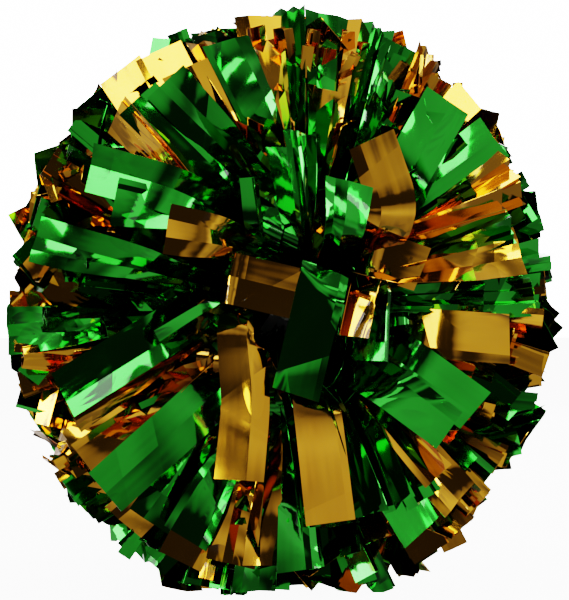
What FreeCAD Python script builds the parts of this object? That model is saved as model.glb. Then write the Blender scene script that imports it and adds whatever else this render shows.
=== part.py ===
"""Cheer pom pom: a baton handle with a tuft of slit metallic film cinched round each end.

Millimetres. +Y runs along the baton from the front tuft to the rear tuft, and +Z is up.
The origin is on the surface the pom pom lies on, under the middle of the grip.
Each tuft is described from its hub, the point on the baton's axis in the middle of its cinched neck:
"out" is the distance from the hub along the axis towards the tuft's own end, away from the grip.
"""

import FreeCAD
import Part

import itertools
import math
import os

Vector = FreeCAD.Vector

# Baton handle
HUB_HEIGHT = 110.0  # baton axis above the surface
HUB_OFFSET = 50.0  # hub from the middle of the grip
TUBE_RADIUS = 9.0
TUBE_BORE_RADIUS = 7.0
TUBE_END_OUT = 9.0  # the tube's end face, out from the hub
RETAINER_RADIUS = 13.0  # knob and collar, which keep the tuft on the tube
NECK_HALF = 7.0  # half of the neck between collar and knob
NECK_PLAY = 0.3  # end play of the film roll in its neck
COLLAR_THICK = 3.0
KNOB_RIM = 3.0
KNOB_TOP_OUT = 15.5
KNOB_TOP_RADIUS = 4.5
GROOVE_COUNT = 9
GROOVE_PITCH = 8.0
GROOVE_WIDTH = 2.0
GROOVE_DEPTH = 0.5

# Plug and screw that hold the knob
PLUG_LENGTH = 18.0
PILOT_RADIUS = 1.47
PILOT_DEPTH = 15.0
SCREW_CORE_RADIUS = 1.45
SCREW_SHANK_RADIUS = 1.75
SCREW_HOLE_RADIUS = 1.9
SCREW_HEAD_RADIUS = 3.4
SCREW_LENGTH = 17.0
SCREW_HEAD_DEPTH = SCREW_HEAD_RADIUS - SCREW_SHANK_RADIUS
CROSS_WIDTH = 0.9
CROSS_LENGTH = 3.6
CROSS_DEPTH = 1.0

# Film roll: four slit sheets wound one over the other and cinched in the neck
RUNNING_CLEARANCE = 0.06  # radial, film roll on the tube
LAYER_THICK = 1.7
LAYER_GAP = 0.02
LAYER_COLOURS = ("green", "gold", "green", "gold")
CINCH_HALF = 3.0  # half length of the part under the tie
ROLL_END = 22.4  # where the sheets' slits begin, from the hub

# Cable tie round the neck
TIE_THICK = 1.25
TIE_WIDTH = 4.6
TIE_HEAD_LENGTH = 6.0
TIE_HEAD_TOP = 20.7
TIE_HEAD_AZIMUTH = 205.0
TIE_TAIL_LENGTH = 3.0

# Tuft: the outer surface is an ellipsoid about the hub, flattened where it lies on the surface
TUFT_HALF_WIDTH = 108.0
TUFT_HALF_HEIGHT = 119.0
TUFT_OUT = 90.0
SHEAF_ROOT = 24.8  # the sheaves' inner ends, from the hub
SHEAF_MARGIN = 0.35  # degrees left free at each side of a sheaf
SECTORS = 8  # sheaves round the axis in each fixed ring
RINGS = {"crown": (0.0, 28.0), "shoulder": (28.0, 56.0), "side": (56.0, 85.5)}
RING_GOLD = {"crown": (1, 4, 6), "shoulder": (0, 3, 5), "side": (2, 5, 7)}
BOTTOM = 270.0  # azimuth of straight down, counted from +X towards +Z

# Parting locks: the strips that lean over the grip and fold back when a hand goes in
LOCKS = 6
LOCK_SPAN = (105.0, 115.0)  # degrees from the tuft's own end
LOCK_COLOURS = ("green", "gold")
LOCK_REACH = 0.96  # they end inside the tuft's surface, to fold clear of what it lies on
OUTER_POINTS = 4  # points along each side of a sheaf's outer face

ENDS = {"front": -1.0, "rear": 1.0}
UP = Vector(0, 0, 1)
AXIS_Y = Vector(0, 1, 0)


def hub(end):
    """The hub of one tuft."""
    return Vector(0, ENDS[end] * HUB_OFFSET, HUB_HEIGHT)


def revolved(points):
    """A solid of revolution about the baton's axis, for the rear tuft, from (radius, out) points."""
    corners = [Vector(r, HUB_OFFSET + out, HUB_HEIGHT) for r, out in points]
    face = Part.Face(Part.makePolygon(corners + corners[:1]))
    return face.revolve(Vector(0, 0, HUB_HEIGHT), AXIS_Y, 360)


def cylinder(radius, out_low, out_high):
    """A cylinder on the baton's axis, for the rear tuft."""
    base = Vector(0, HUB_OFFSET + out_low, HUB_HEIGHT)
    return Part.makeCylinder(radius, out_high - out_low, base, AXIS_Y)


def at_end(shape, end):
    """A shape made for the rear tuft, mirrored for the front one."""
    if end == "rear":
        return shape
    return shape.mirror(Vector(0, 0, 0), AXIS_Y)


def grip_tube():
    """The handle's tube, with shallow anti-slip grooves round the grip."""
    reach = HUB_OFFSET + TUBE_END_OUT
    base = Vector(0, -reach, HUB_HEIGHT)
    tube = Part.makeCylinder(TUBE_RADIUS, 2 * reach, base, AXIS_Y)
    tube = tube.cut(Part.makeCylinder(TUBE_BORE_RADIUS, 2 * reach, base, AXIS_Y))
    first = -GROOVE_PITCH * (GROOVE_COUNT - 1) / 2
    for i in range(GROOVE_COUNT):
        low = Vector(0, first + i * GROOVE_PITCH - GROOVE_WIDTH / 2, HUB_HEIGHT)
        ring = Part.makeCylinder(TUBE_RADIUS + 1, GROOVE_WIDTH, low, AXIS_Y)
        core = Part.makeCylinder(TUBE_RADIUS - GROOVE_DEPTH, GROOVE_WIDTH, low, AXIS_Y)
        tube = tube.cut(ring.cut(core))
    return tube


def collar():
    """The ring pressed on the tube between the grip and the tuft."""
    face_out = -(NECK_HALF + NECK_PLAY)
    ring = cylinder(RETAINER_RADIUS, face_out - COLLAR_THICK, face_out)
    ring = ring.makeFillet(0.8, [e for e in ring.Edges if len(e.Vertexes) == 1])
    return ring.cut(cylinder(TUBE_RADIUS, face_out - COLLAR_THICK, face_out))


def knob():
    """The domed end knob, which sits over the tube's end and takes the screw."""
    back = NECK_HALF + NECK_PLAY
    rim = back + KNOB_RIM
    middle = ((RETAINER_RADIUS + KNOB_TOP_RADIUS) / 2 + 1.6, (rim + KNOB_TOP_OUT) / 2 + 1.1)
    start, through, top = (
        Vector(r, HUB_OFFSET + out, HUB_HEIGHT)
        for r, out in ((RETAINER_RADIUS, rim), middle, (KNOB_TOP_RADIUS, KNOB_TOP_OUT))
    )
    centre_top = Vector(0, HUB_OFFSET + KNOB_TOP_OUT, HUB_HEIGHT)
    centre_back = Vector(0, HUB_OFFSET + back, HUB_HEIGHT)
    back_rim = Vector(RETAINER_RADIUS, HUB_OFFSET + back, HUB_HEIGHT)
    edges = [
        Part.LineSegment(centre_back, back_rim).toShape(),
        Part.LineSegment(back_rim, start).toShape(),
        Part.Arc(start, through, top).toShape(),
        Part.LineSegment(top, centre_top).toShape(),
        Part.LineSegment(centre_top, centre_back).toShape(),
    ]
    dome = Part.Face(Part.Wire(edges)).revolve(Vector(0, 0, HUB_HEIGHT), AXIS_Y, 360)
    dome = dome.cut(cylinder(TUBE_RADIUS + 0.05, back, TUBE_END_OUT))
    dome = dome.cut(cylinder(SCREW_HOLE_RADIUS, back, KNOB_TOP_OUT))
    return dome.cut(countersink(SCREW_HOLE_RADIUS - SCREW_SHANK_RADIUS))


def countersink(clearance):
    """The cone of the screw's head, with a clearance round it."""
    return revolved(
        [
            (0, KNOB_TOP_OUT - SCREW_HEAD_DEPTH - clearance),
            (SCREW_SHANK_RADIUS, KNOB_TOP_OUT - SCREW_HEAD_DEPTH - clearance),
            (SCREW_HEAD_RADIUS + clearance, KNOB_TOP_OUT),
            (0, KNOB_TOP_OUT),
        ]
    )


def end_plug():
    """The plug pressed into the tube's bore, with the screw's pilot hole."""
    plug = cylinder(TUBE_BORE_RADIUS, TUBE_END_OUT - PLUG_LENGTH, TUBE_END_OUT)
    return plug.cut(cylinder(PILOT_RADIUS, TUBE_END_OUT - PILOT_DEPTH, TUBE_END_OUT))


def knob_screw():
    """The countersunk self-tapping screw, with a cross recess."""
    tip = KNOB_TOP_OUT - SCREW_LENGTH
    point = 2.0
    shank_end = TUBE_END_OUT + 0.4
    body = revolved(
        [
            (0, tip),
            (SCREW_CORE_RADIUS, tip + point),
            (SCREW_CORE_RADIUS, shank_end),
            (SCREW_SHANK_RADIUS, shank_end),
            (SCREW_SHANK_RADIUS, KNOB_TOP_OUT - SCREW_HEAD_DEPTH),
            (SCREW_HEAD_RADIUS, KNOB_TOP_OUT),
            (0, KNOB_TOP_OUT),
        ]
    )
    floor = HUB_OFFSET + KNOB_TOP_OUT - CROSS_DEPTH
    for wide, high in ((CROSS_WIDTH, CROSS_LENGTH), (CROSS_LENGTH, CROSS_WIDTH)):
        corner = Vector(-wide / 2, floor, HUB_HEIGHT - high / 2)
        body = body.cut(Part.makeBox(wide, CROSS_DEPTH + 1, high, corner))
    return body


def layer_boundary(index):
    """The line between film layers in the neck, as (radius, out) points from the grip side to the outer side."""
    start = TUBE_RADIUS + RUNNING_CLEARANCE + index * LAYER_THICK
    grip_bend = [(13.45, -7.1), (14.9, -6.3), (16.1, -5.3), (17.0, -4.2), (17.6, -3.0)]
    outer_bend = [(13.6, 7.2), (15.4, 7.6), (16.6, 6.6), (17.2, 5.0), (17.6, 3.0)]
    grip_angle = (117.0, 112.0, 107.0, 102.0, 97.7)
    outer_angle = (38.0, 50.0, 61.0, 72.0, 82.3)

    def on_end(degrees):
        turn = math.radians(degrees)
        return (ROLL_END * math.sin(turn), ROLL_END * math.cos(turn))

    return [
        on_end(grip_angle[index]),
        grip_bend[index],
        (start, -CINCH_HALF),
        (start, CINCH_HALF),
        outer_bend[index],
        on_end(outer_angle[index]),
    ]


def film_roll(index):
    """One film layer's uncut middle: a sleeve in the neck that flares at both ends, where its strips begin."""
    inner = [(r + LAYER_GAP, out) for r, out in layer_boundary(index)]
    outer = layer_boundary(index + 1)
    return revolved(inner + outer[::-1])


def cable_tie():
    """The tie that cinches the tuft: a strap, its ratchet head and the trimmed tail."""
    inner = TUBE_RADIUS + RUNNING_CLEARANCE + len(LAYER_COLOURS) * LAYER_THICK + LAYER_GAP
    half = TIE_WIDTH / 2
    strap = cylinder(inner + TIE_THICK, -half, half).cut(cylinder(inner, -half, half))
    low = inner + TIE_THICK / 2
    head = Part.makeBox(
        TIE_HEAD_LENGTH,
        TIE_WIDTH,
        TIE_HEAD_TOP - low,
        Vector(-TIE_HEAD_LENGTH / 2, HUB_OFFSET - half, HUB_HEIGHT + low),
    )
    tail = Part.makeBox(
        TIE_HEAD_LENGTH / 2 + TIE_TAIL_LENGTH,
        TIE_WIDTH - 1.4,
        TIE_THICK,
        Vector(0, HUB_OFFSET - half + 0.7, HUB_HEIGHT + TIE_HEAD_TOP - 1.2 - TIE_THICK),
    )
    whole = strap.fuse([head, tail]).removeSplitter()
    whole.rotate(Vector(0, HUB_OFFSET, HUB_HEIGHT), AXIS_Y, 90 - TIE_HEAD_AZIMUTH)
    return whole


def reach_to_surface(end, direction):
    """How far the tuft's outer surface is from the hub in a direction."""
    away = 1 / math.sqrt(
        (direction.x / TUFT_HALF_WIDTH) ** 2
        + (direction.y / TUFT_OUT) ** 2
        + (direction.z / TUFT_HALF_HEIGHT) ** 2
    )
    if hub(end).z + away * direction.z < 0:
        away = -hub(end).z / direction.z
    return away


def sheaf_direction(end, azimuth, polar, side):
    """A unit vector from the hub. polar is measured from the tuft's end in the sheaf's middle plane,
    and side is the angle to that plane; a constant polar or side sweeps a plane."""
    turn, tilt = math.radians(azimuth), math.radians(polar)
    radial = Vector(math.cos(turn), 0, math.sin(turn))
    across = Vector(-math.sin(turn), 0, math.cos(turn))
    outward = Vector(0, ENDS[end], 0)
    lean = radial + across * math.tan(math.radians(side))
    return (outward * math.cos(tilt) + lean * math.sin(tilt)).normalize()


def spaced(low, high, count):
    """count values from low to high."""
    return [low + (high - low) * i / (count - 1) for i in range(count)]


def sheaf(end, azimuth, polar_low, polar_high, side_low, side_high, share=1.0):
    """A sheaf of strips as one convex solid, from the roots to a share of the way to the tuft's outer surface."""
    low, high = polar_low + SHEAF_MARGIN, polar_high - SHEAF_MARGIN
    left, right = side_low + SHEAF_MARGIN, side_high - SHEAF_MARGIN
    points = [
        sheaf_direction(end, azimuth, polar, side) * SHEAF_ROOT
        for polar in (low, high)
        for side in (left, right)
    ]
    for polar in spaced(low, high, OUTER_POINTS):
        for side in spaced(left, right, OUTER_POINTS):
            direction = sheaf_direction(end, azimuth, polar, side)
            points.append(direction * reach_to_surface(end, direction) * share)
    return convex_solid([hub(end) + p for p in points])


def convex_solid(points):
    """The convex hull of a few points, as a solid with flat faces."""
    flat = 1e-6
    middle = sum(points, Vector()) * (1 / len(points))
    faces = {}
    for a, b, c in itertools.combinations(points, 3):
        normal = (b - a).cross(c - a)
        if normal.Length < flat:
            continue
        normal.normalize()
        if normal.dot(middle - a) > 0:
            normal = -normal
        heights = [normal.dot(p - a) for p in points]
        if max(heights) > flat:
            continue
        members = tuple(i for i, h in enumerate(heights) if h > -flat)
        faces[members] = normal
    return Part.Solid(Part.Shell([polygon([points[i] for i in m], n) for m, n in faces.items()]))


def polygon(corners, normal):
    """A flat face through corners, taken in order round their middle."""
    middle = sum(corners, Vector()) * (1 / len(corners))
    first = (corners[0] - middle).normalize()
    second = normal.cross(first)
    corners.sort(key=lambda p: math.atan2((p - middle).dot(second), (p - middle).dot(first)))
    return Part.Face(Part.makePolygon(corners + corners[:1]))


def ring_sheaves(end, ring, colour):
    """The fixed sheaves of one ring and one colour."""
    half = 180.0 / SECTORS
    gold = RING_GOLD[ring]
    wanted = [i for i in range(SECTORS) if (i in gold) == (colour == "gold")]
    return Part.makeCompound(
        [sheaf(end, BOTTOM + i * 2 * half, *RINGS[ring], -half, half) for i in wanted]
    )


def lock_sheaf(end, index, colour):
    """One colour's half of a parting lock."""
    half = 180.0 / LOCKS
    azimuth = BOTTOM + index * 2 * half
    sides = (-half, 0) if colour == LOCK_COLOURS[0] else (0, half)
    return sheaf(end, azimuth, *LOCK_SPAN, *sides, LOCK_REACH)


def write(name, shape):
    """Writes one sub-part, after checking that it holds closed solids."""
    assert shape.isValid() and shape.Solids and shape.Volume > 0, name
    shape.exportStep(f"parts/{name}.step")


def main():
    os.makedirs("parts", exist_ok=True)
    write("grip_tube", grip_tube())
    for end in ENDS:
        write(f"{end}_collar", at_end(collar(), end))
        write(f"{end}_knob", at_end(knob(), end))
        write(f"{end}_end_plug", at_end(end_plug(), end))
        write(f"{end}_knob_screw", at_end(knob_screw(), end))
        write(f"{end}_cable_tie", at_end(cable_tie(), end))
        for index, colour in enumerate(LAYER_COLOURS):
            write(f"{end}_film_roll_{index + 1}_{colour}", at_end(film_roll(index), end))
        for ring in RINGS:
            for colour in ("green", "gold"):
                write(f"{end}_{ring}_strips_{colour}", ring_sheaves(end, ring, colour))
        for index in range(LOCKS):
            for colour in LOCK_COLOURS:
                name = f"{end}_parting_{index + 1}_strips_{colour}"
                write(name, lock_sheaf(end, index, colour))


main()
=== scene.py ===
"""Looks of a cheer pom pom: a baton handle with a tuft of slit metallic film at each end.

Shapes are worked out in millimetres in a tuft's own frame, whose origin is its hub:
x and z are the row's X and Z, and the second coordinate, out, runs along the baton away from the grip.
"""

import math

import bpy
import numpy as np
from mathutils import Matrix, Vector


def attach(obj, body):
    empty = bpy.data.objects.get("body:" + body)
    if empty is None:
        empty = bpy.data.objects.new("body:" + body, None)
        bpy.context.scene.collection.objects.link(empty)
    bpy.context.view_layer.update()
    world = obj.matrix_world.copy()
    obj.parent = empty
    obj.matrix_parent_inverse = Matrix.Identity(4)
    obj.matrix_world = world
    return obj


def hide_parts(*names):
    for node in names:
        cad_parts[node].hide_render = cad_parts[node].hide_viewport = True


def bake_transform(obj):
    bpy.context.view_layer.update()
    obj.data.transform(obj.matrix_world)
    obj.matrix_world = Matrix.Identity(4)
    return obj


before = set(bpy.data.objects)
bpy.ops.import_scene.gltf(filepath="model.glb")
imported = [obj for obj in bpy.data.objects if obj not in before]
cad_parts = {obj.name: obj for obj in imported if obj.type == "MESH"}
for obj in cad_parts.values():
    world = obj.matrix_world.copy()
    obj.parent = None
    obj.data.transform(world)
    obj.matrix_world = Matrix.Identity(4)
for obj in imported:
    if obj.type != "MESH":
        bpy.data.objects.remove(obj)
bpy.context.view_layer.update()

MM = 0.001
HUB_HEIGHT = 110.0  # baton axis above the floor
HUB_OFFSET = 50.0  # hub from the middle of the grip
ENDS = {"front": -1.0, "rear": 1.0}

# Film strips
STRIP_WIDTH = 19.0
FILM_THICK = 0.14
ROOT_RADIUS = 21.0
FILL_ROWS = 18  # rows of points along the strips behind those that show
TUFT_HALF_WIDTH = 108.0
TUFT_HALF_HEIGHT = 119.0
TUFT_OUT = 90.0
FLOOR_CLEAR = 0.6  # strips stay this far above the floor
MIDDLE_CLEAR = 1.0  # strips stay this far from the plane between the tufts
# Where each ring of strips ends, in degrees from the tuft's own end
CROWN_END, SHOULDER_END, SIDE_END, LOCK_END = 28.0, 56.0, 88.0, 117.0
LOCKS = 6  # groups of strips that part over the grip
BOTTOM = 270.0  # clock angle of straight down
GOLDEN_ANGLE = 137.508  # from one strip to the next, spreads them evenly round a tuft
VIEW_AZIMUTH = math.radians(-5)
VIEW_AWAY = 1200.0  # camera from the hub
VIEW_RISE = 4.5  # the middle of the view above the hub

# How many strips of each sort a tuft has, and the degrees from its end that the fanned ones span
FANNED, FANNED_COUNT = (60, 116), 440
CORE_COUNT, LEANING_COUNT, MIDDLE_COUNT = 60, 72, 5
REAR_RINGS = ((109, 30), (101, 24), (90, 14), (72, 6))

# Film: noises as (use, scale across, along and between strips in 1/mm, detail, distortion),
# where it is crinkled (noise values), where painted shade darkens it towards the root
# (millimetres along), and its finish
FILM_NOISE = (
    ("streak", (0.2, 0.012, 1.0), 1.0, 0.0),
    ("crinkle", (0.12, 0.045, 1.0), 1.0, 1.2),
    ("where", (0.05, 0.03, 1.0), 0.0, 0.0),
    ("sheen", (0.08, 0.03, 1.0), 1.0, 0.0),
)
CRINKLED = (0.6, 0.75)
# Painted shade: the film's colour is ROOT_SHADE times its own up to SHADED[0] mm along a strip, rising to
# full colour by SHADED[1] mm
SHADED = (10.0, 68.0)
ROOT_SHADE = 0.22
FILM_ROUGHNESS = (0.03, 0.12)
FILM_BUMP = 0.35
STREAK_DEPTH, CRINKLE_DEPTH = 0.0003, 0.002  # metres
COAT_WEIGHT, COAT_IOR = 0.6, 1.38
SHINE_SPREAD = 0.12  # roughness of moulded plastic, either side of its mean

# Area lights: name, place and aim in metres, size, power in watts
TUFT_MIDDLE = (0, -0.05, 0.11)
LIGHTS = (
    ("key", (-0.75, -1.0, 1.0), TUFT_MIDDLE, (0.28, 1.1), 10),
    ("front", (-0.5, -1.9, 0.75), TUFT_MIDDLE, (0.22, 0.8), 5),
    ("fill", (1.1, -0.8, 0.45), TUFT_MIDDLE, (0.16, 0.9), 5.5),
    ("top", (0.1, -0.1, 1.5), TUFT_MIDDLE, (0.9, 0.3), 9),
    ("high", (0.15, -0.85, 1.35), TUFT_MIDDLE, (0.8, 0.22), 1.2),
    ("low", (-1.1, -0.7, 0.2), TUFT_MIDDLE, (0.12, 0.36), 4),
    ("right", (1.5, 0.1, 0.6), (0, 0, 0.11), (0.6, 1.0), 24),
    ("left", (-1.5, 0.1, 0.6), (0, 0, 0.11), (0.6, 1.0), 24),
    ("back", (0.5, 1.7, 0.8), (0, 0.05, 0.11), (0.35, 0.9), 9),
)

# The room that the film mirrors: noise values and how bright the room is there
ROOM_SCALE = 1.6
ROOM_TONES = ((0.42, 0.03), (0.48, 0.31), (0.68, 0.95))
BACK_WALL = (0.9, 0.96)  # Y of the direction, over which the wall behind turns white
SIDE_BAND = (0.55, 0.35)  # either way along Y, over which the sides turn pale
SIDE_NOISE, SIDE_TONES = (0.42, 0.6), (0.2, 1.1)
SEEN_WHITE = 14.0  # what the camera sees of the room, bright enough for the tone curve to show white
FLOOR_SIDE, FLOOR_GLOW = 8.0, 6.0
LENS, SENSOR = 184, 36

# Strips that show on the front tuft's face, in millimetres from the middle of the view:
# colour, tip, a point nearer the root, how it is folded, the way it faces (right, up) in degrees,
# lift, and its creases where they matter (see strip)
SHOWN = [
    ("gold", (-12, 111), (-1, 62), "pair", 3, 10, 0, (0.5, 30, 5)),
    ("green", (-24, 101), (-8, 66), "wedge", 2, 15, 2),
    ("gold", (-32, 101), (-16, 68), "narrow", 10, 10, 0),
    ("gold", (-40, 90), (-18, 55), "wedge", 10, 3, 0),
    ("green", (-57, 79), (-24, 48), "pair", 2, 12, 3, (0.55, 45, 6)),
    ("green", (-47, 85), (-17, 52), "wedge", -2, 4, 4),
    ("gold", (-64, 90), (-45, 62), "flat", -18, 24, 4, (0.6, 20, 2)),
    ("gold", (-52, 96), (-36, 66), "flat", -20, 22, 4, (0.6, -20, 2)),
    ("gold", (-65, 74), (-42, 50), "narrow", -18, 20, 0),
    ("green", (-76, 52), (-34, 42), "pair", -20, 8, 5, (0.5, 40, 4), (0.8, 20, 2)),
    ("green", (-66, 42), (-24, 32), "wedge", 3, 6, 1),
    ("gold", (-46, 28), (-20, 25), "wedge", 15, 10, 4),
    ("green", (-98, 23), (-40, 8), "wedge", 8, 14, 0),
    ("green", (-108, -12), (-48, -6), "wedge", 10, 8, -2),
    ("green", (-86, -38), (-44, -10), "pair", -14, 12, 9, (0.5, 40, 5), (0.8, 30, -3)),
    ("gold", (-83, -45), (-38, -18), "narrow", 12, 12, 2),
    ("gold", (-82, -58), (-52, -38), "wedge", 2, 4, -3),
    ("green", (-70, -75), (-31, -40), "flat", 9, 11, 15, (0.72, 30, 3), (0.9, 30, 4)),
    ("gold", (-65, -85), (-30, -54), "wedge", 15, 12, -3),
    ("green", (-52, -87), (-28, -52), "wedge", 0, -3, -2),
    ("green", (-39, -93), (-20, -58), "wedge", 5, -4, -1),
    ("gold", (-39, -103), (-22, -70), "flat", 23, 5, 3, (0.6, 20, 2)),
    ("gold", (-22, -103), (-14, -68), "wedge", 8, 6, -3),
    ("gold", (-6, -104), (-5, -70), "wedge", 15, 15, -2),
    ("green", (-13, -114), (-8, -78), "wedge", 24, 10, -4),
    ("green", (8, -106), (5, -72), "wedge", 10, 6, -1),
    ("gold", (21, -87), (14, -40), "flat", 8, 10, 6, (0.9, -20, 2)),
    ("green", (10, -89), (3, -50), "narrow", 12, 12, 1),
    ("green", (75, -44), (46, -20), "flat", 10, 14, 6, (0.55, -30, 8)),
    ("green", (66, -50), (39, -31), "flat", 12, 12, 9, (0.5, 30, 8), (0.75, 50, 5)),
    ("gold", (89, -18), (58, -15), "flat", 2, 4, -2),
    ("gold", (61, -69), (32, -38), "narrow", 10, 12, 2),
    ("green", (34, -84), (22, -48), "narrow", 5, -3, -2),
    ("green", (45, -81), (28, -46), "narrow", 8, -4, -2),
    ("green", (56, -78), (34, -44), "narrow", 12, 2, -2),
    ("gold", (68, -80), (46, -54), "wedge", 10, 12, -4),
    ("green", (56, -90), (36, -58), "flat", 24, 8, 4, (0.6, 20, 2)),
    ("green", (2, 115), (6, 72), "narrow", -10, 10, 0),
    ("green", (17, 112), (13, 60), "wedge", 5, 0, 1),
    ("gold", (32, 107), (22, 68), "narrow", 10, 5, 0),
    ("green", (37, 108), (26, 70), "narrow", 12, 10, -1),
    ("green", (47, 100), (34, 58), "wedge", 8, 8, 1),
    ("gold", (57, 97), (40, 60), "narrow", 14, 8, 0),
    ("green", (65, 78), (46, 46), "flat", 12, 14, 2),
    ("green", (83, 64), (46, 34), "pair", 17, 8, 3, (0.5, 40, 7)),
    ("gold", (89, 53), (40, 22), "narrow", 12, 10, 4),
    ("gold", (87, 36), (45, 22), "narrow", 15, 12, 2),
    ("gold", (93, 20), (52, 12), "wedge", 24, 12, -2),
    ("green", (104, 17), (50, 6), "narrow", -4, 22, -4),
    ("green", (102, 2), (50, -2), "narrow", -4, 20, -6),
    ("gold", (33, 64), (43, 31), "flat", 3, 0, 8, (0.62, 25, -9), (0.9, -20, 6)),
    ("green", (24, 47), (19, 24), "wedge", 5, 8, 0),
    ("green", (5, 66), (9, 26), "narrow", 10, 8, 3),
    ("gold", (93, 45), (42, 20), "narrow", 16, 8, 3),
    ("green", (90, 28), (46, 13), "narrow", 2, 2, 1),
]

# The ways those are folded: how far the folds along them lean at root, halfway and tip, how many
KINDS = {
    "flat": ((70, 8, 1.5), 1),
    "pair": ((77, 22, 9), 1),
    "wedge": ((82, 62, 8), 2),
    "narrow": ((83, 72, 46), 4),
}

# Strips that fold over in front of the knob: colour, points (x, z, out) as seen from the bend to the
# tip, the way the tip faces, its lengthwise folds, its creases, the rounding of its bends
DRAPED = [
    ("green", [(17, 2, 44), (19, 14, 71), (18, 6, 78), (7, -38, 73)], 5, -4, (70, 4, 3),
     [(0.5, 12, -5), (0.66, 47, 13), (0.88, -30, 8)], 0.12),
    ("gold", [(-10, 6, 48), (-25, 10, 68), (8, 2, 70)], 0, -4, (70, 4, 2),
     [(0.66, 4, -8), (0.72, -3, 6), (0.84, 50, 4)], 0.35),
    ("gold", [(28, 0, 50), (30, 7, 71), (25, -14, 71)], 20, 10, (80, 72, 68), [(0.8, 20, 6)], 0.2),
    ("green", [(34, 0, 50), (38, 6, 68), (36, -24, 68)], 8, 10, (80, 56, 50), [(0.75, -30, 9)], 0.2),
    ("gold", [(-8, -2, 48), (-14, -11, 64), (-13, -40, 67), (-17, -72, 73)], 6, 9, (78, 24, 10),
     [(0.4, 50, -12), (0.66, -35, 6), (0.8, 30, -5)], 0.25),
    ("green", [(-12, 2, 52), (-30, -4, 66), (-48, -16, 60)], 5, -5, (80, 60, 50),
     [(0.7, 30, 8)], 0.3),
    ("green", [(8, 20, 50), (7, 30, 68), (2, 60, 72)], 2, 10, (80, 62, 50), [(0.7, 20, 8)], 0.3),
]


def unit(v):
    """A vector, or rows of vectors, with length 1."""
    v = np.asarray(v, float)
    return v / np.maximum(np.linalg.norm(v, axis=-1, keepdims=True), 1e-9)


def direction(clock, polar):
    """Unit vector (x, out, z). clock is counted from +X towards +Z, polar from the tuft's own end."""
    c, p = math.radians(clock), math.radians(polar)
    return np.array([math.sin(p) * math.cos(c), math.cos(p), math.sin(p) * math.sin(c)])


def surface(d):
    """How far the tuft's surface is from the hub in direction d."""
    reach = 1 / math.sqrt(
        (d[0] / TUFT_HALF_WIDTH) ** 2 + (d[1] / TUFT_OUT) ** 2 + (d[2] / TUFT_HALF_HEIGHT) ** 2
    )
    if d[2] * reach < -HUB_HEIGHT:
        reach = -HUB_HEIGHT / d[2]
    if d[1] * reach < MIDDLE_CLEAR - HUB_OFFSET:
        reach = (MIDDLE_CLEAR - HUB_OFFSET) / d[1]
    return reach


def drift(clock, polar, seed):
    """A smooth value from -1 to 1 over the tuft, the same for neighbouring strips."""
    c, p = math.radians(clock), math.radians(polar)
    return 0.6 * math.sin(2 * c + 3 * p + seed) + 0.4 * math.sin(5 * c - 4 * p + 2 * seed)


def spin(v, axis, angle):
    """Vectors turned about a unit axis, by Rodrigues' formula."""
    v = np.asarray(v, float)
    c, s = math.cos(angle), math.sin(angle)
    return v * c + np.cross(axis, v) * s + np.outer(v @ axis, axis).reshape(v.shape) * (1 - c)


def spaced_path(curve, count):
    """count points evenly spaced along a line of points, and its length."""
    curve = np.asarray(curve, float)
    steps = np.linalg.norm(np.diff(curve, axis=0), axis=1)
    along = np.concatenate([[0], np.cumsum(steps)])
    even = np.linspace(0, along[-1], count)
    return np.stack([np.interp(even, along, curve[:, k]) for k in range(3)], 1), along[-1]


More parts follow.
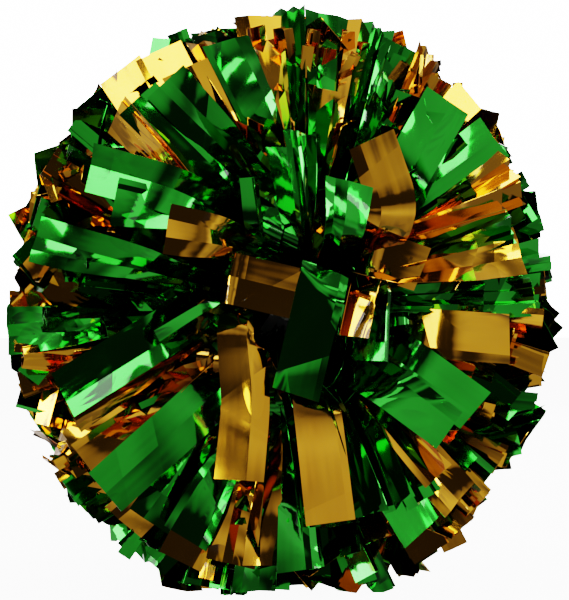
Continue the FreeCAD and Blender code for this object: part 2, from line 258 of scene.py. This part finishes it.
class Film:
    """The strips of one piece, gathered into one mesh."""

    def __init__(self):
        self.verts, self.faces, self.places, self.sharp = [], [], [], []
        self.count, self.total = 0, 0

    def add(self, grid, place, crease_rows, fold_columns):
        """Adds one strip, a grid of points (rows, columns, 3), as a thin closed sheet.

        Its shading breaks at its edges, along its creases and along its lengthwise folds."""
        rows, cols = grid.shape[:2]
        du = np.gradient(grid, axis=0)
        dv = np.gradient(grid, axis=1)
        normal = unit(np.cross(du, dv)) * FILM_THICK / 2
        base, n = self.total, rows * cols
        self.verts += [(grid + normal).reshape(-1, 3), (grid - normal).reshape(-1, 3)]
        ids = np.arange(n).reshape(rows, cols) + base
        a, b, c, d = ids[:-1, :-1], ids[1:, :-1], ids[1:, 1:], ids[:-1, 1:]
        top = np.stack([a, b, c, d], -1).reshape(-1, 4)
        ring = np.concatenate([ids[0, :-1], ids[:-1, -1], ids[-1, :0:-1], ids[:0:-1, 0]])
        after = np.roll(ring, -1)
        side = np.stack([ring, after, after + n, ring + n], -1)
        self.faces += [top, top[:, ::-1] + n, side]
        pairs = [np.stack([ring, after], 1)]
        pairs += [np.stack([ids[i, :-1], ids[i, 1:]], 1) for i in crease_rows]
        pairs += [np.stack([ids[:-1, j], ids[1:, j]], 1) for j in fold_columns]
        pairs = np.concatenate(pairs)
        self.sharp += [pairs, pairs + n]
        self.places += [place.reshape(-1, 3)] * 2
        self.total += 2 * n
        self.count += 1

    def build(self, name, end, material):
        """The mesh object, in the row's frame."""
        p = np.concatenate(self.verts)
        sign = ENDS[end]
        world = np.stack(
            [p[:, 0], sign * (HUB_OFFSET + p[:, 1]), HUB_HEIGHT + p[:, 2]], 1
        ) * MM
        faces = np.concatenate(self.faces)
        if sign > 0:
            faces = faces[:, ::-1]
        mesh = bpy.data.meshes.new(name)
        mesh.from_pydata(world.tolist(), [], faces.tolist())
        mesh.attributes.new("on_strip", "FLOAT_VECTOR", "POINT").data.foreach_set(
            "vector", np.concatenate(self.places).astype(np.float32).ravel()
        )
        mesh.shade_smooth()
        edges = np.empty(2 * len(mesh.edges), int)
        mesh.edges.foreach_get("vertices", edges)
        edges = np.sort(edges.reshape(-1, 2), axis=1)
        sharp = np.sort(np.concatenate(self.sharp), axis=1)
        keys, known = (e[:, 0] * self.total + e[:, 1] for e in (edges, sharp))
        mesh.attributes.new("sharp_edge", "BOOLEAN", "EDGE").data.foreach_set(
            "value", np.isin(keys, known)
        )
        mesh.materials.append(material)
        obj = bpy.data.objects.new(name, mesh)
        bpy.context.scene.collection.objects.link(obj)
        return obj


def strip(rng, path, facing, creases, rows=FILL_ROWS, kinks=2, turn=0.0, folds=(82, 60, 8),
          ripple=0.12):
    """A strip of film along a path from its root to its tip.

    facing is the side its flat face looks to at the tip. turn twists it towards the root, in degrees.
    kinks is how many folds run along it, and folds how far, in degrees, they lean its faces at the
    root, halfway and at the tip. creases are the folds across it: how far along each is, from 0 to 1,
    its skew and its bend, in degrees. Returns its points (rows, columns, 3), the place of each on the
    flat strip, the rows of its creases and the columns of its folds."""
    centre, length = spaced_path(path, rows)
    tangent = unit(np.gradient(centre, axis=0))
    normal = np.zeros_like(centre)
    normal[-1] = unit(facing - tangent[-1] * (facing @ tangent[-1]))
    for i in range(rows - 2, -1, -1):
        normal[i] = unit(normal[i + 1] - tangent[i] * (normal[i + 1] @ tangent[i]))
    s = np.linspace(0, 1, rows)
    angles = np.radians(turn) * (1 - s)
    binormal = np.cross(tangent, normal)
    ca, sa = np.cos(angles)[:, None], np.sin(angles)[:, None]
    normal, binormal = normal * ca + binormal * sa, binormal * ca - normal * sa

    at = [where for where, _, _ in creases]
    slopes = [math.tan(math.radians(skew)) for _, skew, _ in creases]
    slope = np.interp(s, [0] + at + [1], [0] + slopes + [rng.normal(0, 0.05)])
    pinch = np.radians(np.interp(s, [0, 0.5, 1], folds))

    half = STRIP_WIDTH / 2
    lines = np.sort(rng.uniform(-0.75, 0.75, kinks))
    wander = rng.normal(0, 0.12, kinks)
    u = np.ones((rows, kinks + 2))
    u[:, 0] = -1
    u[:, 1:-1] = np.sort(np.clip(lines + np.outer(s - 0.5, wander), -0.9, 0.9), axis=1)
    rise = np.cumsum(np.diff(u, axis=1) * np.where(np.arange(kinks + 1) % 2, -1, 1), axis=1)
    rise = np.concatenate([np.zeros((rows, 1)), rise], axis=1)
    if rows > FILL_ROWS:
        u, rise = doubled(u), doubled(rise)
    rise -= rise.mean(axis=1, keepdims=True)
    phase = rng.uniform(0, 6.28, 3)
    along = s[:, None] * length + u * half * slope[:, None]
    wave = ripple * (
        np.sin(along / 5.1 + 2.1 * u + phase[0])
        + 0.7 * np.sin(along / 3.1 - 3.0 * u + phase[1])
        + 1.4 * np.sin(along / 11.0 + phase[2])
    )
    flat = u * half * np.cos(pinch)[:, None]
    lift = rise * half * np.sin(pinch)[:, None] * rng.choice([-1.0, 1.0]) + wave
    grid = (
        centre[:, None]
        + flat[..., None] * binormal[:, None]
        + (flat * slope[:, None])[..., None] * tangent[:, None]
        + lift[..., None] * normal[:, None]
    )
    crease_rows = [int(round(where * (rows - 1))) for where in at]
    for i, (_, _, bend) in zip(crease_rows, creases):
        axis = unit(binormal[i] + tangent[i] * slope[i])
        tail = (grid[i + 1:] - centre[i]).reshape(-1, 3)
        grid[i + 1:] = spin(tail, axis, math.radians(bend)).reshape(grid[i + 1:].shape) + centre[i]
    place = np.stack([u * half, along, np.full_like(u, rng.uniform(0, 100))], -1)
    fold_columns = range(2, 2 * kinks + 2, 2) if rows > FILL_ROWS else range(1, kinks + 1)
    return aimed(grid, centre[0], centre[-1]), place, crease_rows, fold_columns


def chance_creases(rng, count, bend, skew=35.0):
    """Folds across a strip at chance places, bending it one way and then the other."""
    sign = rng.choice([-1.0, 1.0])
    places = np.sort(rng.uniform(0.3, 0.93, count))
    return [
        (where, rng.uniform(-skew, skew), sign * (-1) ** k * bend * rng.uniform(0.5, 1.3))
        for k, where in enumerate(places)
    ]


def doubled(columns):
    """Columns with another one in the middle of each gap."""
    out = np.repeat(columns, 2, axis=1)[:, :-1]
    out[:, 1::2] = (columns[:, :-1] + columns[:, 1:]) / 2
    return out


def aimed(grid, root, tip):
    """The strip turned and scaled about its root so that its end is back at tip."""
    now, want = grid[-1].mean(0) - root, tip - root
    axis = np.cross(now, want)
    if np.linalg.norm(axis) > 1e-6:
        angle = math.atan2(np.linalg.norm(axis), now @ want)
        turned = spin((grid - root).reshape(-1, 3), unit(axis), angle)
        share = min(1.0, np.linalg.norm(want) / np.linalg.norm(now))
        grid = turned.reshape(grid.shape) * share + root
    return grid


def kept_inside(made):
    """A strip with any point that would go through the floor or the middle plane pressed back."""
    grid = made[0]
    low = -HUB_HEIGHT + FLOOR_CLEAR
    grid[..., 2] = np.where(grid[..., 2] < low, low + (low - grid[..., 2]) * 0.02, grid[..., 2])
    inner = MIDDLE_CLEAR - HUB_OFFSET
    grid[..., 1] = np.where(grid[..., 1] < inner, inner + (inner - grid[..., 1]) * 0.02, grid[..., 1])
    return made


def random_strip(rng, clock, polar, reach, roll, slim):
    """A strip that fans out in one direction. A slim one stays folded narrow up to its tip."""
    d = direction(clock, polar)
    tip = d * surface(d) * reach
    root_polar = np.interp(polar, [0, 60, 115], [30, 62, 112])
    root = direction(clock + rng.normal(0, 6), root_polar) * ROOT_RADIUS
    chord = unit(tip - root)
    across = unit(np.cross(chord, [0, 1, 0] if polar > 12 else [1, 0, 0]))
    face = np.cross(across, chord)
    face = spin(face, chord, math.radians(roll))
    if face[1] < 0:
        face = -face
    middle = root + (tip - root) * rng.uniform(0.35, 0.6) + face * rng.normal(2.0, 5.0)
    if not slim:
        lean = math.radians(rng.choice([-1, 1]) * rng.uniform(12, 26))
        middle = spin(d, np.array([0.0, 1.0, 0.0]), lean) * surface(d) * rng.uniform(0.66, 0.8)
        face = d
    tip_fold = rng.choice([rng.uniform(30, 66), rng.uniform(0, 12)], p=[0.65, 0.35])
    kinks = int(rng.integers(1, 4))
    if slim:
        tip_fold, kinks = rng.uniform(60, 76), int(rng.integers(3, 6))
    half_fold = tip_fold + (78 - tip_fold) * rng.uniform(0.2, 0.7)
    creases = chance_creases(rng, int(rng.choice([0, 1, 2], p=[0.5, 0.35, 0.15])), rng.uniform(4, 14))
    return strip(
        rng, bent_path([root, middle, tip], 0.45), face, creases, kinks=kinks,
        turn=rng.normal(0, 15), folds=(82, half_fold, tip_fold), ripple=rng.uniform(0.02, 0.08),
    )


def seen_from_front(x, z, out):
    """The point at a height out that a viewer in front sees x and z from the middle of the tuft."""
    nearer = 1 - out / VIEW_AWAY
    return np.array([x * nearer + math.tan(VIEW_AZIMUTH) * out, out, VIEW_RISE + z * nearer])


def dome(x, z, share=1.0):
    """How far out the tuft's surface is over x and z."""
    inside = 1 - (x / TUFT_HALF_WIDTH) ** 2 - ((z + VIEW_RISE) / TUFT_HALF_HEIGHT) ** 2
    return TUFT_OUT * share * math.sqrt(max(inside, 0.03))


def neck_point(tip, inner):
    """The root, on the neck's surface, of a strip seen in line through tip and inner."""
    line = unit([inner[0] - tip[0], 0.0, inner[2] - tip[2]])
    near = inner - line * (inner @ line)
    across = np.array([near[0], 0.0, near[2]])
    back = -line * 8.0
    flat = across + back
    size = np.linalg.norm(flat)
    flat *= min(1.0, 16.0 / size)
    return flat + np.array([0.0, math.sqrt(ROOT_RADIUS**2 - flat @ flat), 0.0])


def bent_path(points, soften=0.25):
    """A path of straight runs whose corners are rounded, for a strip that folds over."""
    points = np.asarray(points, float)
    out = [points[0]]
    for a, b, c in zip(points, points[1:], points[2:]):
        start, end = b + (a - b) * soften, b + (c - b) * soften
        t = np.linspace(0, 1, 7)[:, None]
        out += list((1 - t) ** 2 * start + 2 * t * (1 - t) * b + t**2 * end)
    out.append(points[-1])
    return np.array(out)


def draped_strip(rng, points, yaw, pitch, folds, creases, soften):
    """A strip that folds over in front of the knob: points are (x, z, out) as seen, after its root."""
    seen = [seen_from_front(x, z, out) for x, z, out in points]
    root = unit([seen[0][0], 40.0, seen[0][2]]) * ROOT_RADIUS
    facing = unit([math.tan(math.radians(yaw)), 1.0, math.tan(math.radians(pitch))])
    return strip(
        rng, bent_path([root] + seen, soften), facing, creases, rows=44, kinks=1,
        turn=rng.normal(0, 6), folds=folds, ripple=0.05,
    )


def laid_strip(rng, tip, inner, kind, yaw, pitch, lift, *creases):
    """A strip that flops open towards the viewer: through inner to tip, both (x, z) as seen."""
    t = seen_from_front(*tip, dome(*tip) * 0.92 + lift)
    aside, up = math.tan(math.radians(yaw)), math.tan(math.radians(pitch))
    level = t[1] + (tip[0] - inner[0]) * aside + (tip[1] - inner[1]) * up
    i = seen_from_front(*inner, dome(*inner) * np.clip(level / dome(*inner), 0.58, 0.88))
    root = neck_point(t, i)
    facing = unit([aside, 1.0, up])
    folds, kinks = KINDS[kind]
    creases = creases or chance_creases(rng, 2, 4.0 if kind == "flat" else 7.0, 55.0)
    return strip(
        rng, bent_path([root, i, t], 0.4), facing, creases, rows=34, kinks=kinks,
        turn=rng.normal(0, 10), folds=folds, ripple=0.06,
    )


def node_for(end, clock, polar, colour):
    """The CAD node a strip in this direction belongs to."""
    if polar < CROWN_END:
        return f"{end}_crown_strips_{colour}"
    if polar < SHOULDER_END:
        return f"{end}_shoulder_strips_{colour}"
    if polar < SIDE_END:
        return f"{end}_side_strips_{colour}"
    k = int(((clock - BOTTOM + 180 / LOCKS) % 360) // (360 / LOCKS)) + 1
    return f"{end}_parting_{k}_strips_{colour}"


def material(name):
    """A new material that uses nodes, with its nodes and links."""
    m = bpy.data.materials.new(name)
    m.use_nodes = True
    return m, m.node_tree.nodes, m.node_tree.links


def map_range(nodes, links, value, ends, to=(0.0, 1.0)):
    """A node that maps value from one range to another, and its output."""
    made = nodes.new("ShaderNodeMapRange")
    made.inputs["From Min"].default_value, made.inputs["From Max"].default_value = ends
    made.inputs["To Min"].default_value, made.inputs["To Max"].default_value = to
    links.new(value, made.inputs["Value"])
    return made, made.outputs["Result"]


def colour_mix(nodes):
    """A node that mixes two colours."""
    made = nodes.new("ShaderNodeMix")
    made.data_type = "RGBA"
    return made


def film_material(name, dark, light):
    """Metallised film: a coloured mirror, streaked along the strip and crinkled in patches.

    Its colour is darkened towards the root with painted shade, in place of the light that doesn't reach
    into the tuft."""
    m, nodes, links = material(name)
    shader = nodes["Principled BSDF"]
    shader.inputs["Metallic"].default_value = 1.0
    shader.inputs["Coat Weight"].default_value = COAT_WEIGHT
    shader.inputs["Coat IOR"].default_value = COAT_IOR
    shader.inputs["Coat Roughness"].default_value = FILM_ROUGHNESS[0]
    place = nodes.new("ShaderNodeAttribute")
    place.attribute_name = "on_strip"
    textures = {}
    for key, stretch, detail, warp in FILM_NOISE:
        mapping = nodes.new("ShaderNodeMapping")
        mapping.inputs["Scale"].default_value = stretch
        links.new(place.outputs["Vector"], mapping.inputs["Vector"])
        tex = nodes.new("ShaderNodeTexNoise")
        tex.inputs["Scale"].default_value = 1.0
        tex.inputs["Detail"].default_value = detail
        tex.inputs["Distortion"].default_value = warp
        links.new(mapping.outputs["Vector"], tex.inputs["Vector"])
        textures[key] = tex
    _, patchy = map_range(nodes, links, textures["where"].outputs["Fac"], CRINKLED)
    crumple = nodes.new("ShaderNodeMath")
    crumple.operation = "MULTIPLY"
    links.new(textures["crinkle"].outputs["Fac"], crumple.inputs[0])
    links.new(patchy, crumple.inputs[1])
    mix = colour_mix(nodes)
    mix.inputs["A"].default_value = (*dark, 1)
    mix.inputs["B"].default_value = (*light, 1)
    links.new(textures["sheen"].outputs["Fac"], mix.inputs["Factor"])
    parts = nodes.new("ShaderNodeSeparateXYZ")
    links.new(place.outputs["Vector"], parts.inputs["Vector"])
    # Painted shade: the base colour is scaled down towards each strip's root, where light doesn't reach
    # into the tuft
    painted_shade_node, shade = map_range(nodes, links, parts.outputs["Y"], SHADED, (ROOT_SHADE, 1.0))
    painted_shade_node.interpolation_type = "SMOOTHSTEP"
    tone = nodes.new("ShaderNodeVectorMath")
    tone.operation = "SCALE"
    links.new(mix.outputs["Result"], tone.inputs["Vector"])
    links.new(shade, tone.inputs["Scale"])
    links.new(tone.outputs["Vector"], shader.inputs["Base Color"])
    _, rough = map_range(nodes, links, textures["sheen"].outputs["Fac"], (0.0, 1.0), FILM_ROUGHNESS)
    links.new(rough, shader.inputs["Roughness"])
    before = None
    heights = (
        (textures["streak"].outputs["Fac"], STREAK_DEPTH), (crumple.outputs["Value"], CRINKLE_DEPTH),
    )
    for height, deep in heights:
        bump = nodes.new("ShaderNodeBump")
        bump.inputs["Strength"].default_value = FILM_BUMP
        bump.inputs["Distance"].default_value = deep
        links.new(height, bump.inputs["Height"])
        if before:
            links.new(before.outputs["Normal"], bump.inputs["Normal"])
        before = bump
    links.new(before.outputs["Normal"], shader.inputs["Normal"])
    return m


def sorted_in(films, end, colour, made):
    """Puts a strip with the others of the node that its tip is in."""
    made = kept_inside(made)
    tip = made[0][-1].mean(0)
    polar = math.degrees(math.acos(tip[1] / np.linalg.norm(tip)))
    clock = math.degrees(math.atan2(tip[2], tip[0]))
    films.setdefault(node_for(end, clock, polar, colour), Film()).add(*made)


def shown_strips(films):
    """The strips that show on the front tuft's face."""
    rng = np.random.default_rng(21)
    for colour, *how in SHOWN:
        sorted_in(films, "front", colour, laid_strip(rng, *how))
    for colour, *how in DRAPED:
        sorted_in(films, "front", colour, draped_strip(rng, *how))


def core_strips(films, end, seed, count):
    """Strips crumpled back deep in the tuft, which close the view to the knob."""
    rng = np.random.default_rng(seed)
    for k in range(count):
        clock, polar = (k * GOLDEN_ANGLE) % 360, 10 + 46 * math.sqrt((k + 0.5) / count)
        root = direction(clock, 34 + polar * 0.3) * ROOT_RADIUS
        first = direction(clock + rng.normal(0, 15), polar) * rng.uniform(52, 64)
        second = direction(clock + rng.normal(0, 35), polar + rng.uniform(10, 35)) * rng.uniform(50, 72)
        facing = unit(rng.normal(0, 1, 3))
        made = strip(
            rng, bent_path([root, first, second], 0.4), facing, chance_creases(rng, 1, 15.0),
            kinks=2, turn=rng.normal(0, 40), folds=(83, rng.uniform(50, 78), rng.uniform(35, 70)),
        )
        sorted_in(films, end, "gold" if rng.uniform() < 0.35 else "green", made)


def flopped_strip(rng, clock, polar, seed):
    """A strip that leaves the neck one way and flops over, its end lying along the tuft's surface."""
    d = direction(clock, polar)
    aside = unit(np.cross(d, direction(clock + 90, 90)))
    aside = spin(aside, d, math.radians(90 + 60 * drift(clock, polar, seed) + rng.normal(0, 20)))
    start = spin(d, aside, math.radians(rng.uniform(18, 30)))
    tip = d * surface(d) * rng.uniform(0.95, 1.0)
    inner = start * surface(start) * rng.uniform(0.8, 0.9)
    facing = unit(d + 0.16 * rng.normal(0, 1, 3))
    folds, kinks = KINDS[("flat", "wedge", "wedge", "narrow")[int(rng.integers(4))]]
    return strip(
        rng, bent_path([start * ROOT_RADIUS, inner, tip], 0.4), facing, chance_creases(rng, 2, 7.0, 50.0),
        rows=26, kinks=kinks, turn=rng.normal(0, 10), folds=folds, ripple=0.06,
    )


def flopped_strips(films, end, seed, polars, count):
    """Strips whose ends lie open all round a tuft."""
    rng = np.random.default_rng(seed)
    low, high = math.cos(math.radians(polars[0])), math.cos(math.radians(polars[1]))
    for k in range(count):
        polar = math.degrees(math.acos(low + (high - low) * (k + 0.5) / count))
        colour = "gold" if rng.uniform() < 0.42 else "green"
        made = flopped_strip(rng, k * GOLDEN_ANGLE + rng.normal(0, 8), polar, seed)
        sorted_in(films, end, colour, made)


def leaning_strips(films, end, seed, count):
    """Strips that bow over the grip and close the gap between the tufts."""
    rng = np.random.default_rng(seed)
    for k in range(count):
        clock = k * GOLDEN_ANGLE + rng.normal(0, 4)
        root = direction(clock, 112) * ROOT_RADIUS
        bow = direction(clock + rng.normal(0, 5), rng.uniform(116, 126)) * rng.uniform(50, 60)
        d = direction(clock + rng.normal(0, 9), rng.uniform(106, 117))
        tip = d * surface(d) * rng.uniform(0.93, 1.0)
        facing = spin(unit(np.cross(d, direction(clock + 90, 90))), d, math.radians(
            70 * drift(clock, 110, seed) + rng.normal(0, 20)))
        colour = "gold" if drift(clock, 0, seed + 1) + rng.normal(0, 0.5) > 0.15 else "green"
        made = strip(
            rng, bent_path([root, bow, tip], 0.5), facing, chance_creases(rng, 1, 8.0),
            kinks=2, turn=rng.normal(0, 10), folds=(82, 45, rng.uniform(4, 40)), ripple=0.06,
        )
        sorted_in(films, end, colour, made)


def laid_strips(films, end, seed, rings):
    """Strips that lie open over the far end of a tuft, in rings: how far out their tips are, how many."""
    rng = np.random.default_rng(seed)
    clock = 0.0
    for far, count in rings:
        for _ in range(count):
            clock += 360 / count
            at = direction(clock + rng.normal(0, 120 / count), 90)[[0, 2]]
            reach = far * rng.uniform(0.9, 1.04)
            colour = "gold" if drift(clock, far, seed) + rng.normal(0, 0.6) > 0.1 else "green"
            yaw, pitch = rng.normal(0, 20, 2)
            kind = ("flat", "wedge", "wedge", "narrow", "narrow")[int(rng.integers(5))]
            lift = rng.normal(1, 4)
            inner = at * reach * 0.5 + rng.normal(0, 5, 2)
            made = laid_strip(rng, at * reach, inner, kind, yaw, pitch, lift)
            sorted_in(films, end, colour, made)


def middle_strips(films, end, seed, count):
    """Strips that fold over in front of the knob."""
    rng = np.random.default_rng(seed)
    for k in range(count):
        at = direction(k * GOLDEN_ANGLE + 50, 90)[[0, 2]]
        far = rng.uniform(30, 56)
        back = at * (far - 50) + rng.normal(0, 4, 2)
        points = [(*back * 0.4, 48), (*back, 72 + 0.5 * k), (*at * far, 72 + 0.7 * k)]
        creases = chance_creases(rng, 2, 9.0, 50.0)
        yaw, pitch = rng.normal(0, 12, 2)
        folds = (76, rng.uniform(8, 60), rng.uniform(3, 30))
        made = draped_strip(rng, points, yaw, pitch, folds, creases, 0.25)
        sorted_in(films, end, ("green", "gold")[k % 2], made)


def tuft(end, seed, polars, count):
    """The loose strips of one tuft, sorted into a Film for each node."""
    rng = np.random.default_rng(seed)
    films = {}
    low, high = math.cos(math.radians(polars[0])), math.cos(math.radians(polars[1]))
    for k in range(count):
        polar = math.degrees(math.acos(low + (high - low) * (k + 0.5) / count))
        clock = (k * GOLDEN_ANGLE + rng.normal(0, 5)) % 360
        polar = float(np.clip(polar + rng.normal(0, 3), 3, LOCK_END))
        patch = math.sin(math.radians(clock) * 3 + polar * 0.09 + seed) + 0.7 * math.sin(
            math.radians(clock) * 7 - polar * 0.05
        )
        gold = patch + rng.normal(0, 0.8) > 0.0
        colour = "gold" if gold else "green"
        edge_on = np.interp(polar, [58, 76], [0.3, 0.92])
        if rng.uniform() < edge_on:
            roll = rng.normal(72, 14)
        else:
            roll = 40 * drift(clock, polar, seed) + rng.normal(0, 12)
        reach = np.interp(polar, [60, 80], [0.74, 0.93]) + rng.uniform(0, 0.07)
        slim = polar < 80 or rng.uniform() < 0.5
        made = kept_inside(random_strip(rng, clock, polar, reach, roll, slim))
        films.setdefault(node_for(end, clock, polar, colour), Film()).add(*made)
    return films


FILMS = {
    "green": film_material("film_green", (0.003, 0.18, 0.004), (0.01, 0.32, 0.014)),
    "gold": film_material("film_gold", (0.6, 0.23, 0.004), (0.75, 0.37, 0.018)),
}


def place_tuft(end, films):
    """Makes a tuft's pieces. All but the strips that part go into the tuft's body; those are left on their
    own.
    """
    for node, film in sorted(films.items()):
        colour = node.rsplit("_", 1)[1]
        obj = film.build(node.replace("strips", "film"), end, FILMS[colour])
        if "parting" in node:
            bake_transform(obj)
        else:
            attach(obj, f"{end}_bundle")
        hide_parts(node)


def plain_material(name, colour, roughness):
    """One even colour, for the floor."""
    m, nodes, _ = material(name)
    shader = nodes["Principled BSDF"]
    shader.inputs["Base Color"].default_value = (*colour, 1)
    shader.inputs["Roughness"].default_value = roughness
    return m


def grained(name, colour, worn, roughness, grain, depth, stretch=(1, 1, 1)):
    """Moulded plastic: a fine grain, patches of handling shine and a slightly uneven colour.

    grain is the size of the grain in millimetres and depth its height."""
    m, nodes, links = material(name)
    shader = nodes["Principled BSDF"]
    place = nodes.new("ShaderNodeTexCoord")
    mapping = nodes.new("ShaderNodeMapping")
    mapping.inputs["Scale"].default_value = stretch
    links.new(place.outputs["Object"], mapping.inputs["Vector"])
    fine, broad = nodes.new("ShaderNodeTexVoronoi"), nodes.new("ShaderNodeTexNoise")
    fine.inputs["Scale"].default_value = 1000 / grain
    broad.inputs["Scale"].default_value = 90.0
    broad.inputs["Detail"].default_value = 5.0
    for tex in (fine, broad):
        links.new(mapping.outputs["Vector"], tex.inputs["Vector"])
    mix = nodes.new("ShaderNodeMix")
    mix.data_type = "RGBA"
    mix.inputs["A"].default_value = (*colour, 1)
    mix.inputs["B"].default_value = (*worn, 1)
    links.new(broad.outputs["Fac"], mix.inputs["Factor"])
    links.new(mix.outputs["Result"], shader.inputs["Base Color"])
    ends = (roughness + SHINE_SPREAD, roughness - SHINE_SPREAD)
    _, rough = map_range(nodes, links, broad.outputs["Fac"], (0.0, 1.0), ends)
    links.new(rough, shader.inputs["Roughness"])
    bump = nodes.new("ShaderNodeBump")
    bump.inputs["Strength"].default_value = 0.6
    bump.inputs["Distance"].default_value = depth * MM
    links.new(fine.outputs["Distance"], bump.inputs["Height"])
    links.new(bump.outputs["Normal"], shader.inputs["Normal"])
    return m


def steel(name):
    """Zinc-plated steel with fine turning marks."""
    m = grained(name, (0.55, 0.56, 0.58), (0.72, 0.73, 0.75), 0.32, 0.35, 0.02, (1, 0.05, 1))
    m.node_tree.nodes["Principled BSDF"].inputs["Metallic"].default_value = 1.0
    return m


def wound_film(name, colour, edge):
    """Film wound round the neck: a coloured mirror whose layers show as fine lines."""
    m = grained(name, colour, edge, 0.25, 1.4, 0.15, (1, 0.3, 1))
    m.node_tree.nodes["Principled BSDF"].inputs["Metallic"].default_value = 1.0
    return m


def finish_hard_pieces():
    """Better materials for the pieces whose CAD shape shows as it is."""
    black = grained("knob_black", (0.012, 0.012, 0.013), (0.03, 0.03, 0.032), 0.38, 0.5, 0.03)
    looks = {
        "grip_tube": grained("handle_black", (0.01, 0.01, 0.011), (0.035, 0.034, 0.033), 0.5, 0.8, 0.08),
        "collar": black,
        "knob": black,
        "end_plug": grained("plug_white", (0.75, 0.74, 0.7), (0.85, 0.84, 0.81), 0.42, 0.5, 0.03),
        "knob_screw": steel("screw_steel"),
        "cable_tie": grained("tie_black", (0.014, 0.014, 0.015), (0.04, 0.04, 0.04), 0.45, 0.6, 0.04),
        "film_roll_1_green": wound_film("roll_green", (0.004, 0.3, 0.02), (0.015, 0.55, 0.06)),
        "film_roll_2_gold": wound_film("roll_gold", (0.8, 0.3, 0.006), (1.0, 0.5, 0.03)),
    }
    looks["film_roll_3_green"] = looks["film_roll_1_green"]
    looks["film_roll_4_gold"] = looks["film_roll_2_gold"]
    for node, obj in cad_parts.items():
        look = looks.get(node.removeprefix("front_").removeprefix("rear_"))
        if look:
            for slot in obj.material_slots:
                slot.material = look


def area_light(name, at, aim, size, power):
    """A soft rectangular light that faces aim."""
    data = bpy.data.lights.new(name, "AREA")
    data.shape = "RECTANGLE"
    data.size, data.size_y = size
    data.energy = power
    obj = bpy.data.objects.new(name, data)
    bpy.context.scene.collection.objects.link(obj)
    obj.location = at
    obj.rotation_euler = (Vector(aim) - Vector(at)).to_track_quat("-Z", "Y").to_euler()


def room():
    """The world: patches of light and dark for the film to mirror, and plain white to the camera."""
    world = bpy.data.worlds.new("studio")
    bpy.context.scene.world = world
    world.use_nodes = True
    nodes, links = world.node_tree.nodes, world.node_tree.links
    place = nodes.new("ShaderNodeTexCoord")
    patches = nodes.new("ShaderNodeTexNoise")
    patches.inputs["Scale"].default_value = ROOM_SCALE
    patches.inputs["Detail"].default_value = 1.0
    links.new(place.outputs["Generated"], patches.inputs["Vector"])
    ramp = nodes.new("ShaderNodeValToRGB")
    stops = ramp.color_ramp.elements
    stops.new(ROOM_TONES[1][0])
    for stop, (value, tone) in zip(stops, ROOM_TONES):
        stop.position = value
        stop.color = (tone, tone, tone, 1)
    links.new(patches.outputs["Fac"], ramp.inputs["Fac"])
    parts = nodes.new("ShaderNodeSeparateXYZ")
    links.new(place.outputs["Generated"], parts.inputs["Vector"])
    _, behind = map_range(nodes, links, parts.outputs["Y"], BACK_WALL)
    either = nodes.new("ShaderNodeMath")
    either.operation = "ABSOLUTE"
    links.new(parts.outputs["Y"], either.inputs[0])
    _, around = map_range(nodes, links, either.outputs["Value"], SIDE_BAND)
    _, paler = map_range(nodes, links, patches.outputs["Fac"], SIDE_NOISE, SIDE_TONES)
    walls = colour_mix(nodes)
    links.new(paler, walls.inputs["B"])
    links.new(around, walls.inputs["Factor"])
    links.new(ramp.outputs["Color"], walls.inputs["A"])
    mirrored = colour_mix(nodes)
    mirrored.inputs["B"].default_value = (1, 1, 1, 1)
    links.new(behind, mirrored.inputs["Factor"])
    links.new(walls.outputs["Result"], mirrored.inputs["A"])
    seen = colour_mix(nodes)
    seen.inputs["B"].default_value = (SEEN_WHITE, SEEN_WHITE, SEEN_WHITE, 1)
    links.new(nodes.new("ShaderNodeLightPath").outputs["Is Camera Ray"], seen.inputs["Factor"])
    links.new(mirrored.outputs["Result"], seen.inputs["A"])
    links.new(seen.outputs["Result"], nodes["Background"].inputs["Color"])
    nodes["Background"].inputs["Strength"].default_value = 1.0


def pale_floor():
    """A plain floor that glows, so that the tone curve shows it near white. The film doesn't mirror it."""
    mesh = bpy.data.meshes.new("floor")
    side = FLOOR_SIDE
    verts = [(-side, -side, 0), (side, -side, 0), (side, side, 0), (-side, side, 0)]
    mesh.from_pydata(verts, [], [(0, 1, 2, 3)])
    floor = bpy.data.objects.new("floor", mesh)
    pale = plain_material("floor_pale", (0.86, 0.86, 0.85), 0.6)
    glow = pale.node_tree.nodes["Principled BSDF"].inputs
    glow["Emission Color"].default_value = (1, 1, 1, 1)
    glow["Emission Strength"].default_value = FLOOR_GLOW
    mesh.materials.append(pale)
    bpy.context.scene.collection.objects.link(floor)
    floor.visible_glossy = False


def camera():
    """The camera, square to the front tuft apart from a small turn."""
    data = bpy.data.cameras.new("camera")
    obj = bpy.data.objects.new("camera", data)
    bpy.context.scene.collection.objects.link(obj)
    bpy.context.scene.camera = obj
    data.lens = LENS
    data.sensor_width = SENSOR
    aim = Vector((0, -HUB_OFFSET, HUB_HEIGHT + VIEW_RISE)) * MM
    back = Vector((math.sin(VIEW_AZIMUTH), -math.cos(VIEW_AZIMUTH), 0.0))
    obj.location = aim + back * VIEW_AWAY * MM
    obj.rotation_euler = (aim - obj.location).to_track_quat("-Z", "Y").to_euler()


front = tuft("front", 3, FANNED, FANNED_COUNT)
core_strips(front, "front", 5, CORE_COUNT)
shown_strips(front)
flopped_strips(front, "front", 12, (88, 115), 125)
leaning_strips(front, "front", 13, LEANING_COUNT)
place_tuft("front", front)
rear = tuft("rear", 8, FANNED, FANNED_COUNT)
core_strips(rear, "rear", 6, CORE_COUNT)
laid_strips(rear, "rear", 15, REAR_RINGS)
middle_strips(rear, "rear", 16, MIDDLE_COUNT)
flopped_strips(rear, "rear", 11, (82, 115), 130)
leaning_strips(rear, "rear", 14, LEANING_COUNT)
place_tuft("rear", rear)
finish_hard_pieces()
room()
pale_floor()
for light in LIGHTS:
    area_light(*light)
camera()
view = bpy.context.scene.view_settings
view.view_transform = "Filmic"
view.look = "Medium High Contrast"
